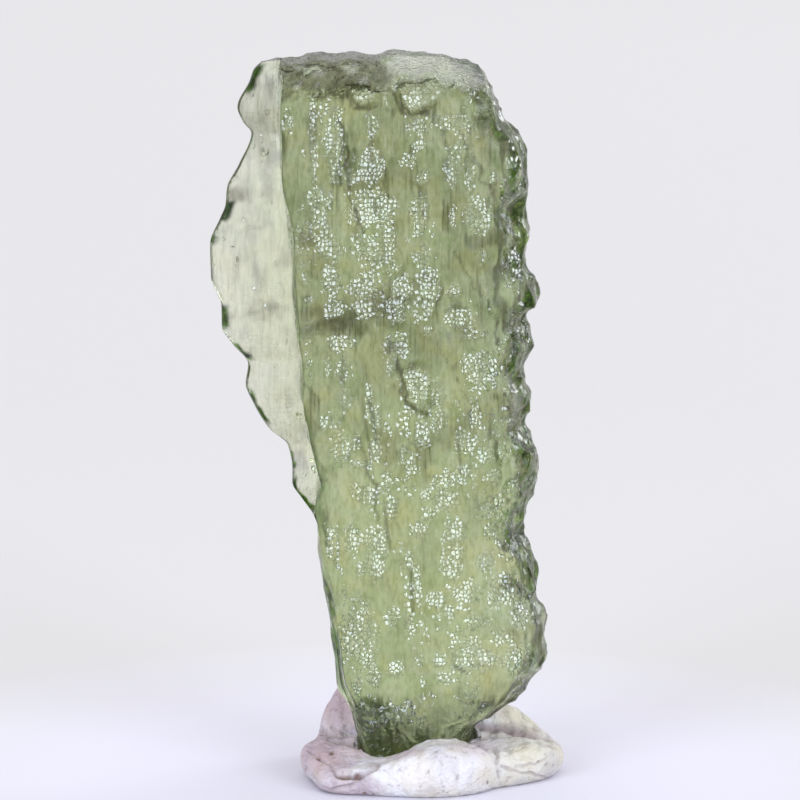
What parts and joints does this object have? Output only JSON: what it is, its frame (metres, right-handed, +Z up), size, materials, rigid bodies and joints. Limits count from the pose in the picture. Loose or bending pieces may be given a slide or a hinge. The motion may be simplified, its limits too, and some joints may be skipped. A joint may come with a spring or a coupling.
{
  "type": "moldavite",
  "caption": "Elongated slab of sculpted green natural glass with a thin wing along its left side, standing upright in a kneaded lump of white mineral putty.",
  "frame": {"origin": "bottom centre of the bounding box, on the surface that the putty stands on", "axes": "+Z up along the upright stone, -Y out of its front, +X to the right seen from the front"},
  "size_m": [0.0141, 0.009, 0.0288],
  "materials": {
    "moldavite_glass": "etched and sculpted, translucent olive green",
    "mineral_putty": "matt, kneaded"
  },
  "bodies": {
    "root": {"moldavite": "moldavite_glass", "putty_stand": "mineral_putty"}
  },
  "joints": []
}
